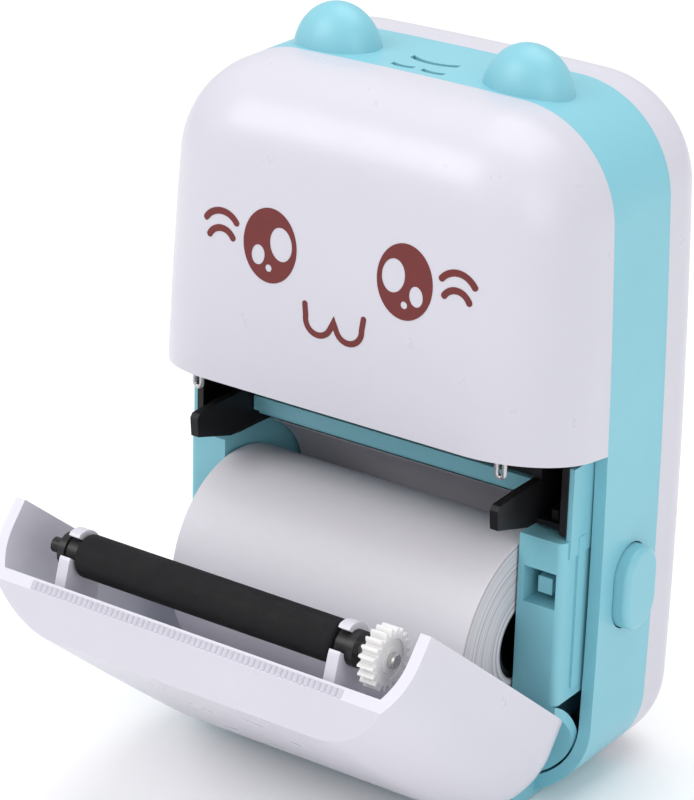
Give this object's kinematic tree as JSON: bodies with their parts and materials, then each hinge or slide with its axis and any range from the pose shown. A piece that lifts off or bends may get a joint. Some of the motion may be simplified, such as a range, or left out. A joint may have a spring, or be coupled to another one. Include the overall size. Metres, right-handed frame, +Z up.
{
  "type": "pocket thermal printer",
  "caption": "Pocket thermal label printer with ears: hinged paper door with platen roller, paper bay, print head frame, gear train, side release button",
  "frame": {"origin": "on the flat base, at mid width, below the case", "axes": "+X to the right as seen from the front, +Y to the back, +Z up; the paper door opens towards -Y"},
  "size_m": [0.0818, 0.0874, 0.1239],
  "materials": {
    "cyan_plastic": "satin moulded plastic, light cyan",
    "white_plastic": "smooth moulded plastic, cool white",
    "print_ink": "printed ink, dark reddish brown",
    "black_plastic": "moulded plastic, black",
    "platen_rubber": "charcoal rubber, dusty",
    "steel": "plain steel",
    "nylon": "milky white nylon",
    "paper": "coated thermal paper",
    "core_card": "black wound core",
    "brass": "machined brass",
    "ceramic": "glazed print head strip",
    "aluminium": "extruded aluminium",
    "board": "green solder mask",
    "flex": "amber flexible circuit",
    "foil": "grey pouch film",
    "wire_red": "insulated wire",
    "light_pipe": "clear light pipe"
  },
  "bodies": {
    "case": {"middle_frame": "cyan_plastic", "front_cover": "white_plastic", "back_cover": "white_plastic", "face_print": "print_ink", "case_screws": "steel", "bay_frame": "cyan_plastic", "paper_tray": "cyan_plastic", "head_frame": "black_plastic", "thermal_head": "ceramic", "heat_sink": "aluminium", "head_springs": "steel", "wire_clips": "steel", "gear_axles": "steel", "stepper_motor": "steel", "main_board": "board", "board_chips": "black_plastic", "capacitors": "aluminium", "board_connectors": "white_plastic", "usb_socket": "steel", "usb_tongue": "black_plastic", "tact_switch": "black_plastic", "status_light": "light_pipe", "battery_pack": "foil", "battery_leads": "wire_red", "head_ribbon": "flex", "release_spring": "steel"},
    "door": {"door_shell": "white_plastic", "platen_arms": "white_plastic", "tear_edge": "white_plastic", "platen_bushings": "black_plastic", "hinge_pins": "steel"},
    "platen": {"platen_rubber": "platen_rubber", "platen_shaft": "steel", "platen_gear": "nylon"},
    "core": {"paper_core": "core_card", "paper_tail": "paper"},
    "roll": {"paper_roll": "paper"},
    "drive": {"drive_gear": "nylon"},
    "idler": {"idler_gear": "nylon"},
    "pinion": {"motor_pinion": "brass"},
    "release": {"release_button": "cyan_plastic"},
    "plunger": {"release_plunger": "cyan_plastic"},
    "power": {"power_button": "cyan_plastic"}
  },
  "joints": [
    {"name": "door_hinge", "type": "hinge", "parent": "case", "child": "door", "pos_m": [0, -0.0188, 0.007], "axis": [1, 0, 0], "range_deg": [-52, 0]},
    {"name": "platen_spin", "type": "hinge", "parent": "door", "child": "platen", "pos_m": [0, -0.05458, 0.04599], "axis": [1, 0, 0], "continuous": true},
    {"name": "roll_shift", "type": "slide", "parent": "case", "child": "core", "axis": [0, 1, 0], "range_m": [0, 0.0047]},
    {"name": "roll_spin", "type": "hinge", "parent": "core", "child": "roll", "pos_m": [0, -0.0094, 0.0293], "axis": [1, 0, 0], "continuous": true},
    {"name": "drive_spin", "type": "hinge", "parent": "case", "child": "drive", "pos_m": [0, -0.0011, 0.0655], "axis": [1, 0, 0], "continuous": true},
    {"name": "idler_spin", "type": "hinge", "parent": "case", "child": "idler", "pos_m": [0, -0.002, 0.07359], "axis": [1, 0, 0], "continuous": true},
    {"name": "motor_spin", "type": "hinge", "parent": "case", "child": "pinion", "pos_m": [0, 0.0003, 0.08233], "axis": [1, 0, 0], "continuous": true},
    {"name": "release_press", "type": "slide", "parent": "case", "child": "release", "axis": [-1, 0, 0], "range_m": [0, 0.0018], "stiffness_N_per_m": 500, "springref_m": -0.001},
    {"name": "plunger_slide", "type": "slide", "parent": "case", "child": "plunger", "axis": [0, -1, 0], "range_m": [0, 0.0018]},
    {"name": "power_press", "type": "slide", "parent": "case", "child": "power", "axis": [1, 0, 0], "range_m": [0, 0.0006], "stiffness_N_per_m": 800, "springref_m": -0.0005}
  ],
  "couplings": [
    {"joint": "roll_shift", "follows": "door_hinge", "m_per_rad": -0.005178},
    {"joint": "idler_spin", "follows": "motor_spin", "ratio": -0.33333},
    {"joint": "drive_spin", "follows": "motor_spin", "ratio": 0.16667},
    {"joint": "plunger_slide", "follows": "release_press", "ratio": 1}
  ]
}
